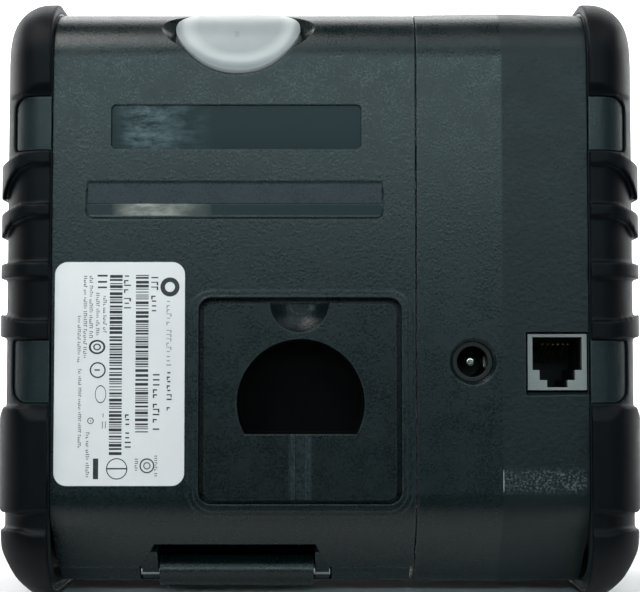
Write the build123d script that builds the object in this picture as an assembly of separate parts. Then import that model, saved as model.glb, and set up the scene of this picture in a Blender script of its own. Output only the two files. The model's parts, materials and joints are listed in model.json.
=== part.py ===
from build123d import *
import math
import os

# Rugged portable receipt printer: two casing sections side by side between two
# rubber-clad end caps.  Millimetres, +Z up.  The rear face, with the ports and
# the belt-clip socket, looks along -Y; the paper door is on the +Y side.  The
# origin is at the bottom centre.
# Rectangles on the front and rear faces are (x0, x1, z0, z1); places are (x, z).

# ---------------------------------------------------------------- dimensions
# casing
BODY_X = 53.7          # half width between the end caps
BODY_Y = 31.0          # half depth
REAR_Y = -BODY_Y       # rear face
BODY_Z0 = 2.6          # underside
BODY_Z1 = 120.0        # top
WALL = 2.2
SLANT_Z = 17.6         # where rear face and slanted lower face would meet
SLANT_Y = -17.0        # where slanted lower face meets the underside
# side outline, (y, z), and the rounding of each corner
BODY_POINTS = [
    (REAR_Y, BODY_Z1), (REAR_Y, SLANT_Z), (SLANT_Y, BODY_Z0), (BODY_Y, BODY_Z0),
    (BODY_Y, BODY_Z1),
]
BODY_RADII = [11.0, 10.0, 5.0, 12.0, 14.0]

SEAM_X = 19.2          # seam between paper section and port section
CREASE_X = 36.5        # soft crease down the port section
PORT_BULGE = 0.35      # port section stands this much proud at the crease
SPLIT_GAP = 0.06       # each half of the port section stops this far from y = 0

# paper door and its hinge, whose axis runs along X
HINGE_Y, HINGE_Z = -17.6, 5.0
HINGE_PIN_R = 1.0
KNUCKLE_R = 3.1
KNUCKLE_X0, KNUCKLE_X1 = -32.9, -1.3
EARS = ((-36.6, -33.2), (-1.0, 1.9))    # x spans of the fixed hinge ears
WRAP_R = 2.5           # door's rear edge stays inside this radius
WRAP_CLEAR_R = WRAP_R + 0.15
DOOR_X0, DOOR_X1 = -53.4, 18.4
DOOR_TOP_Y = 11.0      # rear end of the door's top wall
SHELL_TOP_Y = 7.5      # front end of the rear shell's top wall

# platen and gear train
PLATEN_Y, PLATEN_Z = 14.0, 109.5
PLATEN_R = 5.0
CORE_R = 2.5           # thick part of the platen shaft
BUSH_R = 2.6
PAPER_X0, PAPER_X1 = -46.2, 11.8        # 58 mm paper width
BRACKETS = ((-48.9, -47.0), (12.5, 14.3))   # x spans of the platen brackets
MODULE = 0.5
T_PLATEN, T_IDLER, T_PINION = 24, 24, 16
PRESSURE_ANGLE = math.radians(20)
TOOTH_THINNING = 0.035  # taken off the tooth thickness for backlash
GEAR_X0, GEAR_X1 = 14.8, 16.8
IDLER_ANGLE = 186.0    # from platen centre
PINION_ANGLE = 215.0   # from idler centre
MOTOR_R = 7.5

# release button, which moves along a diagonal, and the latch
BUTTON_X, BUTTON_Y, BUTTON_Z = -16.6, -29.0, 115.3
BUTTON_A, BUTTON_B = 12.6, 7.8
BUTTON_PLANE = Plane(
    origin=(BUTTON_X, BUTTON_Y, BUTTON_Z), x_dir=(1, 0, 0), z_dir=(0, -1, 1)
)
HOOKS = ((-51.3, -49.8), (14.9, 16.4))  # x spans of latch hooks and door catches
YOKE_Y0, YOKE_Y1 = -27.1, -25.4
LATCH_SPRING_XS = (-34.0, 1.0)
LATCH_SPRING_Y = -26.2

# rear face
RECESS = (-42.0, 8.3, 90.6, 99.6)       # shallow blank nameplate recess
LEDGE = (-46.7, 12.5, 76.8, 84.2)       # ramped ledge
LABEL = (-53.0, -27.0, 23.2, 67.8)      # paper label
RIM = (-26.4, 18.6, 17.0, 62.1)         # raised rim of the clip socket
POCKET = (-24.2, 16.3, 19.6, 60.7)
PLATE_X0, PLATE_X1, PLATE_Z0, PLATE_Z1 = PLATE = (-23.3, 15.4, 20.2, 59.6)
D_X, D_Z, D_R, D_FLAT = -3.86, 39.6, 12.8, 33.4    # D-shaped clip opening
SCOOP_X, SCOOP_Z = -4.1, 59.6
DC_X, DC_Z, DC_R = 30.5, 47.9, 4.1
JACK_X0, JACK_X1, JACK_Z0, JACK_Z1 = 41.1, 53.5, 41.8, 53.8

# front face of the port section
KEYPAD = (24.2, 49.8, 74.0, 110.0)
FEED = (37.0, 88.0)
POWER = (37.0, 101.0)
LEDS = [(29.4, 80.0), (37.0, 80.0), (44.6, 80.0)]
BATTERY_OPENING = (24.0, 50.0, 15.0, 66.0)

# boards and screws
BOARD_Y = -12.0        # rear face of the main board
BOARD_T = 1.6
PART_Y = BOARD_Y + BOARD_T + 0.02       # where board components stand
BOARD_SCREWS = [(x, z) for z in (106.0, 30.0) for x in (26.0, 48.0)]
TUB_SCREWS = [(-43.5, 70.5), (9.0, 70.5), (-36.0, 25.0)]
PORT_SCREWS = [(49.0, 6.9), (22.9, 113.0)]
TUB_X0, TUB_X1 = -47.7, 13.3

# end caps and bumpers
CAP_X0 = 53.9          # inner plane of end caps and bumpers
CAP_X1 = 62.3          # outer face of the plastic end cap
CAP_Y = 31.2
CAP_Z0, CAP_Z1 = 1.4, 120.8
CAP_WALL = 2.2
CAP_CORNER = 13.0      # side-view corner radius
CAP_EDGE = 7.6         # rounding of the outer edge
MEMBRANE_X = 63.8      # outer face of the thin rubber
MEMBRANE_Y = 32.2
MEMBRANE_Z0, MEMBRANE_Z1 = 0.5, 121.7
RIB_X = 65.0           # outer face of rubber ribs and lower pads
RIB_Y = 33.0
PAD_TOP_X = 63.5       # outer face of upper pad
RUBBER_TOP = 122.2
# windows through the rubber: z0, z1, upper and lower outer corner radius
WINDOWS = [(90.2, 101.2, 3.0, 0.8), (39.6, 52.2, 0.8, 3.0)]
WINDOW_X1 = 61.5
# outlines of the ribs seen from the front, (x, z)
RIB_BANDS = [
    [(50, 90.1), (57.4, 90.1), (60.8, 89.4), (63.2, 88.3), (67.2, 86.6), (67.2, 80.2),
     (64.6, 80.8), (62.6, 84.4), (60.6, 86.6), (57.6, 87.5), (50, 87.5)],
    [(50, 79.3), (59.4, 79.3), (62.8, 78.4), (67.2, 76.9), (67.2, 72.2), (64.6, 73.0),
     (62, 75.8), (58.6, 77.0), (50, 77.0)],
    [(50, 67.8), (68, 67.6), (68, 64.6), (50, 64.8)],
    [(50, 55.8), (59.4, 56.0), (63.3, 57.0), (67.3, 58.4), (67.3, 53.2), (63.3, 52.7),
     (58, 52.4), (50, 52.4)],
]

# limits of cutting tools, clear of the product
BIG = 200.0
OUT_REAR, OUT_FRONT = -40.0, 40.0


# ------------------------------------------------------------------- helpers
def box(x0, x1, y0, y1, z0, z1):
    centre = Pos((x0 + x1) / 2, (y0 + y1) / 2, (z0 + z1) / 2)
    return centre * Box(x1 - x0, y1 - y0, z1 - z0)


def cyl_x(x0, x1, y, z, radius):
    return Pos((x0 + x1) / 2, y, z) * (Rot(0, 90, 0) * Cylinder(radius, x1 - x0))


def cyl_y(x, z, radius, y0, y1):
    return Pos(x, (y0 + y1) / 2, z) * (Rot(90, 0, 0) * Cylinder(radius, y1 - y0))


def cyl_z(x, y, radius, z0, z1):
    return Pos(x, y, (z0 + z1) / 2) * Cylinder(radius, z1 - z0)


def cone_y(x, z, radius0, radius1, y0, y1):
    """Cone with radius0 at y0 and radius1 at y1."""
    return Pos(x, (y0 + y1) / 2, z) * (Rot(-90, 0, 0) * Cone(radius0, radius1, y1 - y0))


def tube_x(x0, x1, y, z, outer, inner):
    return cyl_x(x0, x1, y, z, outer) - cyl_x(x0 - 1, x1 + 1, y, z, inner)


def rounded_face(points, radii):
    """Closed outline of straight lines with an exact arc at each corner."""
    corners = []        # start, middle (None if sharp) and end of each arc
    for i, radius in enumerate(radii):
        corner = Vector(*points[i])
        if radius <= 1e-6:
            corners.append((corner, None, corner))
            continue
        back = (Vector(*points[i - 1]) - corner).normalized()
        ahead = (Vector(*points[(i + 1) % len(points)]) - corner).normalized()
        half = math.acos(max(-1, min(1, back.dot(ahead)))) / 2
        tangent = radius / math.tan(half)
        centre = corner + (back + ahead).normalized() * (radius / math.sin(half))
        middle = centre + (corner - centre).normalized() * radius
        corners.append((corner + back * tangent, middle, corner + ahead * tangent))
    edges = []
    for i, (start, middle, end) in enumerate(corners):
        if middle is not None:
            edges.append(ThreePointArc(start, middle, end))
        following = corners[(i + 1) % len(corners)][0]
        if (following - end).length > 1e-6:
            edges.append(Line(end, following))
    return make_face(Curve() + edges)


def along_x(face, x0, x1):
    return extrude(Pos(x0, 0, 0) * (Plane.YZ * face), amount=x1 - x0)


def along_y(face, y0, y1):
    # Plane.XZ faces -Y, so the sweep runs from y1 back to y0
    return extrude(Pos(0, y1, 0) * (Plane.XZ * face), amount=y1 - y0)


def prism_x(points, x0, x1, radii=None):
    return along_x(rounded_face(points, radii or [0] * len(points)), x0, x1)


def prism_y(points, y0, y1, radii=None):
    return along_y(rounded_face(points, radii or [0] * len(points)), y0, y1)


def plate_y(rect, radius, y0, y1):
    x0, x1, z0, z1 = rect
    return prism_y([(x0, z0), (x1, z0), (x1, z1), (x0, z1)], y0, y1, [radius] * 4)


def inset(rect, margin):
    x0, x1, z0, z1 = rect
    return (x0 + margin, x1 - margin, z0 + margin, z1 - margin)


def shrink(points, radii, amount):
    """Parallel inward offset of a convex outline."""
    following = points[1:] + points[:1]
    area = sum(ay * bz - by * az for (ay, az), (by, bz) in zip(points, following))
    turn = 1 if area > 0 else -1
    lines = []          # a point and the unit direction of each offset side
    for (ay, az), (by, bz) in zip(points, following):
        length = math.hypot(by - ay, bz - az)
        dir_y, dir_z = (by - ay) / length, (bz - az) / length
        lines.append((ay - dir_z * turn * amount, az + dir_y * turn * amount, dir_y, dir_z))
    moved = []
    for i, (by, bz, b_dir_y, b_dir_z) in enumerate(lines):
        ay, az, a_dir_y, a_dir_z = lines[i - 1]
        cross = a_dir_y * b_dir_z - a_dir_z * b_dir_y
        reach = ((by - ay) * b_dir_z - (bz - az) * b_dir_y) / cross
        moved.append((ay + a_dir_y * reach, az + a_dir_z * reach))
    return moved, [max(0.0, radius - amount) for radius in radii]


def body(x0, x1, amount=0.0):
    """Solid casing profile, its surface moved inward by amount."""
    points, radii = shrink(BODY_POINTS, BODY_RADII, amount)
    return prism_x(points, x0, x1, radii)


def release_prism(half_x, half_slope, start, end):
    """Elliptical prism along the diagonal the button travels on."""
    face = BUTTON_PLANE.offset(start) * Ellipse(half_x, half_slope)
    return extrude(face, amount=end - start)


def coil(x, z, y0, y1, radius, wire, turns):
    """Spring wound along Y."""
    height = y1 - y0 - wire
    path = Helix(pitch=height / turns, height=height, radius=radius)
    profile = Plane(origin=path @ 0, z_dir=path % 0) * Circle(wire / 2)
    return Pos(x, y0 + wire / 2, z) * (Rot(-90, 0, 0) * sweep(profile, path=path))


def save(name, built):
    """Write a shape, or a list of shapes, as one STEP file."""
    shapes = built if isinstance(built, list) else [built]
    solids = [solid for shape in shapes for solid in shape.solids()]
    shape = solids[0] if len(solids) == 1 else Compound(children=solids)
    export_step(shape, os.path.join("parts", name + ".step"))


# ------------------------------------------------------- paper section casing
def ledge_cut():
    """Long ramp inward and a short return."""
    x0, x1, z0, z1 = LEDGE
    ledge = prism_x(
        [(REAR_Y - 1, z1 + 1.2), (REAR_Y, z1), (REAR_Y + 0.55, z0 + 2.7),
         (REAR_Y, z0 + 0.15), (REAR_Y - 1, z0 - 0.3)],
        x0, x1,
    )
    return ledge & (
        plate_y((x0, x1, z0 - 3, z1 + 3), 0.6, OUT_REAR, -20)
        & plate_y((x0, x1, z0, z1 + 12), 1.2, OUT_REAR, -20)
    )


def ledge_groove():
    """Fine groove round the sides and bottom of the ledge."""
    x0, x1, z0, z1 = LEDGE
    outer = (x0 - 0.3, x1 + 0.3, z0 - 0.35, z1 - 1.0)
    return plate_y(outer, 1.4, OUT_REAR, REAR_Y + 0.5) - plate_y(
        (x0, x1, z0, z1 + 12), 1.2, OUT_REAR - 1, 0
    )


def hinge_ear(x0, x1):
    # link outline in (along, across) distances from the hinge axis
    along, across = (-0.682, 0.731), (0.731, 0.682)
    link = [
        (HINGE_Y + along[0] * p + across[0] * q, HINGE_Z + along[1] * p + across[1] * q)
        for p, q in ((1.0, -0.9), (6.4, -0.9), (6.4, 2.4), (0.4, 2.1))
    ]
    return cyl_x(x0, x1, HINGE_Y, HINGE_Z, 2.25) + prism_x(link, x0, x1)


def rear_shell():
    x0, x1 = -BODY_X - 1, SEAM_X + 1
    shell = body(-BODY_X, SEAM_X - 0.1) - body(x0, x1, WALL)
    # only the part behind the door
    shell = shell & prism_x(
        [(-BIG, 140), (SHELL_TOP_Y, 140), (SHELL_TOP_Y, 100), (HINGE_Y, 60),
         (HINGE_Y, HINGE_Z), (HINGE_Y - 2.0, HINGE_Z + 0.3), (-BIG, HINGE_Z + 0.3)],
        x0, x1,
    )
    shell -= cyl_x(x0, x1, HINGE_Y, HINGE_Z, WRAP_CLEAR_R)
    # thickened wall behind the ledge
    shell += box(-48.5, 14.3, REAR_Y + WALL - 0.2, REAR_Y + 3.6, 75.0, 86.0)
    # raised rim of the clip socket, stepped at its edge, follows the face
    rim_area = plate_y(RIM, 5.0, OUT_REAR, -20)
    core = body(-BODY_X, SEAM_X, 0.5)
    rim = rim_area & (body(-BODY_X, SEAM_X, -0.8) - core)
    rim_top = plate_y(inset(RIM, 1.1), 4.0, OUT_REAR, -20)
    rim_low = rim_area & (body(-BODY_X, SEAM_X, -0.35) - core)
    shell = shell + (rim & rim_top) + rim_low
    shell -= plate_y(POCKET, 2.6, OUT_REAR, -25)
    shell -= plate_y(RECESS, 1.0, REAR_Y - 5, REAR_Y + 0.6)
    shell -= ledge_cut()
    shell -= ledge_groove()
    # finger scoops beside the release opening, then the opening
    shell -= loft(
        Sketch() + [
            BUTTON_PLANE.offset(-2.3) * Ellipse(BUTTON_A + 0.1, BUTTON_B - 0.6),
            BUTTON_PLANE.offset(6.5) * Ellipse(BUTTON_A + 10.6, BUTTON_B - 0.1),
        ]
    )
    shell -= release_prism(BUTTON_A + 0.3, BUTTON_B + 0.3, -14, 14)
    # trapezoid clearance round the hinge knuckle
    shell -= prism_y(
        [(-33.6, 11.0), (-0.9, 11.0), (1.8, 5.4), (1.8, 0), (-37.0, 0), (-37.0, 5.4)],
        OUT_REAR, HINGE_Y + 2.0,
    )
    for ear_x0, ear_x1 in EARS:
        shell += hinge_ear(ear_x0, ear_x1) & body(-60, 30, 0.25)
        shell -= cyl_x(ear_x0 - 0.1, ear_x1 + 0.1, HINGE_Y, HINGE_Z, HINGE_PIN_R + 0.01)
    # bosses that carry the paper tub
    for x, z in TUB_SCREWS:
        shell += cyl_y(x, z, 2.8, REAR_Y + WALL - 0.3, -24.1)
        shell -= cyl_y(x, z, 1.15, -28.2, -23)
    return shell


# -------------------------------------------------------- port section casing
def port_casing():
    """Whole port section: two lofted spans that stand proudest at the crease."""
    def section(x, amount):
        points, radii = shrink(BODY_POINTS, BODY_RADII, amount)
        return Pos(x, 0, 0) * (Plane.YZ * rounded_face(points, radii))

    seam, crease, end = (SEAM_X + 0.2, -0.12), (CREASE_X, -PORT_BULGE), (BODY_X, 0.05)
    left = loft(Sketch() + [section(*seam), section(*crease)], ruled=True)
    right = loft(Sketch() + [section(*crease), section(*end)], ruled=True)
    return left + right - body(SEAM_X + 1.7, BODY_X + 1, WALL)


def port_housing_rear():
    rear = port_casing() & box(0, 80, -BIG, -SPLIT_GAP, -5, 140)
    # slots in the wall beside the paper section
    for z in (88.0, 30.0):
        rear -= box(SEAM_X - 1, SEAM_X + 3, -20, -8, z, z + 6)
    # DC inlet opening with a small chamfer ring
    rear -= cyl_y(DC_X, DC_Z, DC_R, OUT_REAR, -25)
    rear -= cone_y(DC_X, DC_Z, DC_R + 0.95, DC_R - 0.05, REAR_Y - 0.6, REAR_Y + 0.45)
    # modular jack opening, with a shallow chamfered lip underneath
    rear -= box(JACK_X0, JACK_X1, OUT_REAR, -25, JACK_Z0, JACK_Z1)
    rear -= prism_x(
        [(REAR_Y - 1, JACK_Z0 - 1.3), (REAR_Y + 1.0, JACK_Z0 + 0.1),
         (REAR_Y - 1, JACK_Z0 + 0.1)],
        JACK_X0, JACK_X1,
    )
    for x, z in BOARD_SCREWS:
        rear += cyl_y(x, z, 2.6, REAR_Y + WALL - 0.3, BOARD_Y - 0.02)
        rear -= cyl_y(x, z, 1.1, BOARD_Y - 7, BOARD_Y + 1)
    for x, z in PORT_SCREWS:
        rear += cyl_y(x, z, 2.5, -24, -SPLIT_GAP) & body(SEAM_X + 1, BODY_X, 1.0)
        rear -= cyl_y(x, z, 1.1, -12, 1)
    return rear


def port_housing_front():
    front = port_casing() & box(0, 80, SPLIT_GAP, BIG, -5, 140)
    # battery opening and the step its cover sits in
    front -= plate_y(BATTERY_OPENING, 2.5, 25, OUT_FRONT)
    front -= plate_y(inset(BATTERY_OPENING, -1.2), 3.2, BODY_Y - 1.3, OUT_FRONT)
    # keypad recess with its key and LED openings
    front -= plate_y(KEYPAD, 3.0, BODY_Y - 1.0, OUT_FRONT)
    for x, z in (FEED, POWER):
        front -= cyl_y(x, z, 4.3, 25, OUT_FRONT)
    for x, z in LEDS:
        front -= cyl_y(x, z, 1.35, 25, OUT_FRONT)
    # closing-screw bosses, counterbored from the front
    for x, z in PORT_SCREWS:
        front += cyl_y(x, z, 2.9, SPLIT_GAP, 24) & body(SEAM_X + 1, BODY_X, 1.0)
        front -= cyl_y(x, z, 1.45, -1, 60)
        front -= cyl_y(x, z, 2.6, 3.0, 60)
    # posts in front of the keypad board's corners
    for z in (108.0, 76.0):
        for x in (25.0, 49.0):
            front += cyl_y(x, z, 2.0, 19.7, BODY_Y - WALL + 0.3)
    return front


# ------------------------------------------------------ end caps and bumpers
def cap_block(x1, y, z0, z1, corner, edge):
    """Rounded block from the inner plane out to x1, outer edge filleted."""
    block = prism_x([(-y, z0), (y, z0), (y, z1), (-y, z1)], CAP_X0, x1, [corner] * 4)
    return fillet(block.edges().group_by(Axis.X)[-1], edge)


def cap_solid(grow):
    """Outside of the end cap; its lower outer corner falls away in a long curve."""
    block = cap_block(
        CAP_X1 + grow, CAP_Y + grow, CAP_Z0 - grow, CAP_Z1 + grow, CAP_CORNER, CAP_EDGE
    )
    return block & prism_y(
        [(50, 1.3 - grow), (56.4, 1.3 - grow), (60.2 + grow, 5.4), (62.31 + grow, 10.5),
         (62.31 + grow, 130), (50, 130)],
        -60, 60, [0, 3, 6, 6, 0, 0],
    )


def window_prisms(grow):
    """Prisms of the rubber windows, rear and front, outer corners rounded."""
    x0, x1 = CAP_X0 - 1, WINDOW_X1 + grow
    return [
        prism_y(
            [(x0, z0 - grow), (x1, z0 - grow), (x1, z1 + grow), (x0, z1 + grow)],
            y0, y1, [0, low_r, top_r, 0],
        )
        for z0, z1, top_r, low_r in WINDOWS
        for y0, y1 in ((OUT_REAR, -20), (20, OUT_FRONT))
    ]


def end_cap():
    """Right end cap, with raised panels that fill the rubber's windows."""
    inner = cap_block(
        CAP_X1 - CAP_WALL, CAP_Y - CAP_WALL, CAP_Z0 + CAP_WALL, CAP_Z1 - CAP_WALL,
        CAP_CORNER - 2, CAP_EDGE - 2,
    )
    panel_block = cap_block(
        MEMBRANE_X - 0.3, MEMBRANE_Y - 0.35, MEMBRANE_Z0 + 0.3, MEMBRANE_Z1 - 0.3,
        CAP_CORNER + 0.9, CAP_EDGE + 0.6,
    )
    cap = cap_solid(0.0) - inner
    for window in window_prisms(-0.15):
        cap += (panel_block - inner) & window
    return cap & box(CAP_X0, 80, -BIG, BIG, -5, 140)


def shouldered(block, z0, z1, slope0, slope1):
    """Pad between z0 and z1; the slopes are the heights over which it sinks
    to the membrane at its lower and upper end."""
    pad = block & box(50, 80, -BIG, BIG, z0, z1)
    cuts = []
    for z, slope in ((z0, slope0), (z1, -slope1)):
        if not slope:
            continue
        for side in (-1, 1):
            points = [
                (side * (RIB_Y + 1), z), (side * (RIB_Y + 1), z + slope),
                (side * RIB_Y, z + slope), (side * (MEMBRANE_Y - 0.2), z),
            ]
            cuts.append(prism_x(points, 40, 90))
        points = [
            (RIB_X + 1, z), (RIB_X + 1, z + slope), (RIB_X, z + slope), (MEMBRANE_X - 0.2, z)
        ]
        cuts.append(prism_y(points, -60, 60))
    for cut in cuts:
        pad -= cut
    return pad


def bumper():
    """Right rubber bumper: thin membrane with ribs and pads."""
    rubber = cap_block(
        MEMBRANE_X, MEMBRANE_Y, MEMBRANE_Z0, MEMBRANE_Z1, CAP_CORNER + 0.9, CAP_EDGE + 0.6
    )
    rib_block = cap_block(RIB_X, RIB_Y, 0.0, 122.0, CAP_CORNER + 1.6, CAP_EDGE + 0.9)
    top_block = cap_block(PAD_TOP_X, RIB_Y, 10.0, RUBBER_TOP, CAP_CORNER, CAP_EDGE + 0.2)
    for points in RIB_BANDS:
        rubber += rib_block & prism_y(points, -60, 60)
    # upper pad, lower pad and bottom corner pad
    rubber += shouldered(top_block, 101.4, 130, 2.2, 0)
    rubber += shouldered(rib_block, 17.8, 38.9, 1.0, 2.6)
    rubber += shouldered(rib_block, -5, 14.6, 0, 1.0)
    for window in window_prisms(0.0):
        rubber -= window
    rubber -= cap_solid(0.03)
    # long curve at the lower outer corner
    rubber &= prism_y(
        [(50, -0.01), (57.4, -0.01), (61.0, 4.6), (63.9, 10.5), (63.9, 14.7), (70, 14.7),
         (70, 130), (50, 130)],
        -60, 60, [0, 3, 8, 6, 0, 0, 0, 0],
    )
    rubber &= box(CAP_X0, 80, -BIG, BIG, -5, 140)
    # nothing may remain inside the cap itself
    rubber -= cap_solid(0.0)
    return rubber


# ---------------------------------------------------------------- paper door
def paper_door():
    x0, x1 = DOOR_X0 - 1, DOOR_X1 + 1
    door = body(DOOR_X0, DOOR_X1) - body(x0, x1, WALL)
    door &= prism_x(
        [(DOOR_TOP_Y, 140), (BIG, 140), (BIG, -10), (HINGE_Y - 8, -10),
         (HINGE_Y - 8, HINGE_Z + 1.6), (HINGE_Y + 2.0, HINGE_Z + 1.6), (DOOR_TOP_Y, 60)],
        x0, x1,
    )
    # rear edge of the wrap-under stays inside the swing circle
    door -= box(x0, x1, -40, HINGE_Y, -5, 20) - cyl_x(
        DOOR_X0 - 2, DOOR_X1 + 2, HINGE_Y, HINGE_Z, WRAP_R
    )
    # clearance for the fixed hinge ears, then the central knuckle
    for ear_x0, ear_x1 in ((EARS[0][0] - 0.5, KNUCKLE_X0), (KNUCKLE_X1, EARS[1][1] + 0.5)):
        door -= cyl_x(ear_x0, ear_x1, HINGE_Y, HINGE_Z, WRAP_CLEAR_R)
    door += cyl_x(KNUCKLE_X0, KNUCKLE_X1, HINGE_Y, HINGE_Z, KNUCKLE_R) + prism_x(
        [(HINGE_Y - 1.0, HINGE_Z - 2.9), (HINGE_Y + 1.0, BODY_Z0 - 0.55),
         (HINGE_Y + 7, BODY_Z0), (HINGE_Y + 9, BODY_Z0 + 2.1),
         (HINGE_Y + 2.6, HINGE_Z + 1.6)],
        KNUCKLE_X0, KNUCKLE_X1,
    )
    door -= cyl_x(-60, 40, HINGE_Y, HINGE_Z, HINGE_PIN_R + 0.06)
    # shallow blank panel and grip bars on the front
    panel = (-45.0, 10.6, 22.0, 84.0)
    door -= plate_y(panel, 6.0, BODY_Y - 0.7, 60)
    door += plate_y(inset(panel, 4.0), 5.0, BODY_Y - 1.2, BODY_Y - 0.15)
    for k in range(4):
        z = 90.0 + 3.2 * k
        door += plate_y((-34.0, -0.4, z, z + 1.4), 0.68, BODY_Y - 0.4, BODY_Y + 0.6)
    # brackets that carry the platen, hanging from the front and top walls
    for arm_x0, arm_x1 in BRACKETS:
        door += prism_x(
            [(PLATEN_Y - 3.6, PLATEN_Z - 3.6), (PLATEN_Y + 4, PLATEN_Z - 5.5),
             (BODY_Y - 2.0, 100.0), (BODY_Y - 2.0, 104.0), (BODY_Y - 6.2, 113.0),
             (BODY_Y - 10.0, 118.2), (PLATEN_Y - 2.4, 118.2)],
            arm_x0, arm_x1, [3, 2, 0, 0, 0, 0, 0],
        ) & body(arm_x0 - 1, arm_x1 + 1, 1.0)
        door -= cyl_x(arm_x0 - 0.1, arm_x1 + 0.1, PLATEN_Y, PLATEN_Z, BUSH_R + 0.02)
    # catches that meet the latch hooks
    for hook_x0, hook_x1 in HOOKS:
        door += prism_x(
            [(17.5, 91.7), (19.3, 91.7), (19.6, 94.2), (BODY_Y - 2.0, 94.2),
             (BODY_Y - 2.0, 98.4), (17.5, 96.6)],
            hook_x0, hook_x1,
        )
    return door


def hinge_pin():
    return cyl_x(EARS[0][0] - 0.3, EARS[1][1] + 0.2, HINGE_Y, HINGE_Z, HINGE_PIN_R)


# ------------------------------------------------------------ platen and gears
def polar_step(y, z, distance, degrees):
    angle = math.radians(degrees)
    return y + distance * math.cos(angle), z + distance * math.sin(angle)


IDLER_Y, IDLER_Z = polar_step(
    PLATEN_Y, PLATEN_Z, MODULE * (T_PLATEN + T_IDLER) / 2, IDLER_ANGLE
)
PINION_Y, PINION_Z = polar_step(
    IDLER_Y, IDLER_Z, MODULE * (T_IDLER + T_PINION) / 2, PINION_ANGLE
)
IDLER_PHASE = IDLER_ANGLE + 180 + 180 / T_IDLER
# idler tooth nearest the pinion decides the pinion's phase
TOOTH_OFFSET = (PINION_ANGLE - IDLER_PHASE) % (360 / T_IDLER)
PINION_PHASE = PINION_ANGLE + 180 + 180 / T_PINION + TOOTH_OFFSET * T_IDLER / T_PINION


def gear_face(teeth, phase):
    """Involute outline with radial roots, first tooth centred at phase degrees."""
    pitch_r = MODULE * teeth / 2
    base_r = pitch_r * math.cos(PRESSURE_ANGLE)
    tip_r = pitch_r + MODULE
    root_r = pitch_r - 1.25 * MODULE
    involute = math.tan(PRESSURE_ANGLE) - PRESSURE_ANGLE
    base_half = math.pi / (2 * teeth) - TOOTH_THINNING / (2 * pitch_r) + involute
    flank = [(root_r, base_half)]       # radius, half angle of the tooth there
    for i in range(6):
        radius = base_r + (tip_r - base_r) * i / 5
        roll = math.acos(base_r / radius)
        flank.append((radius, base_half - (math.tan(roll) - roll)))
    points = []
    for k in range(teeth):
        centre = math.radians(phase) + 2 * math.pi * k / teeth
        sides = [(r, centre - t) for r, t in flank]
        sides += [(r, centre + t) for r, t in reversed(flank)]
        points += [(r * math.cos(angle), r * math.sin(angle)) for r, angle in sides]
    return make_face(Polyline(*points, close=True))


def gear(teeth, y, z, phase, bore):
    wheel = Pos(0, y, z) * along_x(gear_face(teeth, phase), GEAR_X0, GEAR_X1)
    return wheel - cyl_x(GEAR_X0 - 1, GEAR_X1 + 1, y, z, bore)


def platen_rubber():
    return tube_x(PAPER_X0, PAPER_X1, PLATEN_Y, PLATEN_Z, PLATEN_R, CORE_R + 0.03)


def platen_shaft():
    core = cyl_x(PAPER_X0, PAPER_X1, PLATEN_Y, PLATEN_Z, CORE_R)
    return cyl_x(-49.6, 17.2, PLATEN_Y, PLATEN_Z, 1.5) + core


def platen_gear():
    wheel = gear(T_PLATEN, PLATEN_Y, PLATEN_Z, IDLER_ANGLE, 1.52)
    return wheel + tube_x(GEAR_X1 - 0.1, GEAR_X1 + 0.3, PLATEN_Y, PLATEN_Z, 3.0, 1.52)


def platen_bushes():
    return [tube_x(x0, x1, PLATEN_Y, PLATEN_Z, BUSH_R, 1.55) for x0, x1 in BRACKETS]


def idler_gear():
    return gear(T_IDLER, IDLER_Y, IDLER_Z, IDLER_PHASE, 1.05)


def idler_axle():
    head_x = GEAR_X1 + 0.15
    head = cyl_x(head_x, GEAR_X1 + 0.6, IDLER_Y, IDLER_Z, 1.9)
    return cyl_x(12.9, head_x, IDLER_Y, IDLER_Z, 0.98) + head


def motor_pinion():
    return gear(T_PINION, PINION_Y, PINION_Z, PINION_PHASE, 0.77)


def motor_shaft():
    return cyl_x(-1.5, GEAR_X1 + 0.2, PINION_Y, PINION_Z, 0.75)


# ------------------------------------------------------------- print mechanism
def mechanism_frame():
    frame = box(-47.2, 12.8, -2.0, -0.7, 110.8, 117.4)
    # side plates
    for x0, x1 in ((-48.6, -47.2), (12.6, 14.1)):
        frame += prism_x(
            [(-16, 92.5), (6.0, 92.5), (8.2, 97.5), (8.2, 117.4), (-2.0, 117.4), (-16, 112.0)],
            x0, x1, [2, 2, 1, 0.5, 0.5, 3],
        )
    # flanges under the side plates
    for x0, x1 in ((-48.6, -43.5), (9.0, 14.1)):
        frame += box(x0, x1, -16, 6.0, 91.3, 92.6)
    frame -= cyl_x(10, 16, PINION_Y, PINION_Z, 2.4)
    frame -= cyl_x(10, 16, IDLER_Y, IDLER_Z, 1.0)
    return frame


def stepper_motor():
    motor = cyl_x(-1.0, 12.5, PINION_Y, PINION_Z, MOTOR_R) - cyl_x(
        -3, 13, PINION_Y, PINION_Z, 0.85
    )
    # step round the gear end, then the block on the rear side
    motor -= cyl_x(11.7, 13, PINION_Y, PINION_Z, MOTOR_R + 1) - cyl_x(
        11, 13, PINION_Y, PINION_Z, MOTOR_R - 0.6
    )
    block_y = PINION_Y - MOTOR_R
    motor += box(2.0, 9.0, block_y - 2.2, block_y + 1.2, PINION_Z - 3, PINION_Z + 3)
    return motor


def head_heatsink():
    sink = box(PAPER_X0 + 0.6, PAPER_X1 - 0.6, 3.4, 7.6, 102.9, 115.4)
    for k in range(9):
        x = PAPER_X0 + 4 + k * 6.2
        sink -= box(x, x + 1.6, 3.0, 5.2, 110.8, 116)
    return sink


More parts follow.
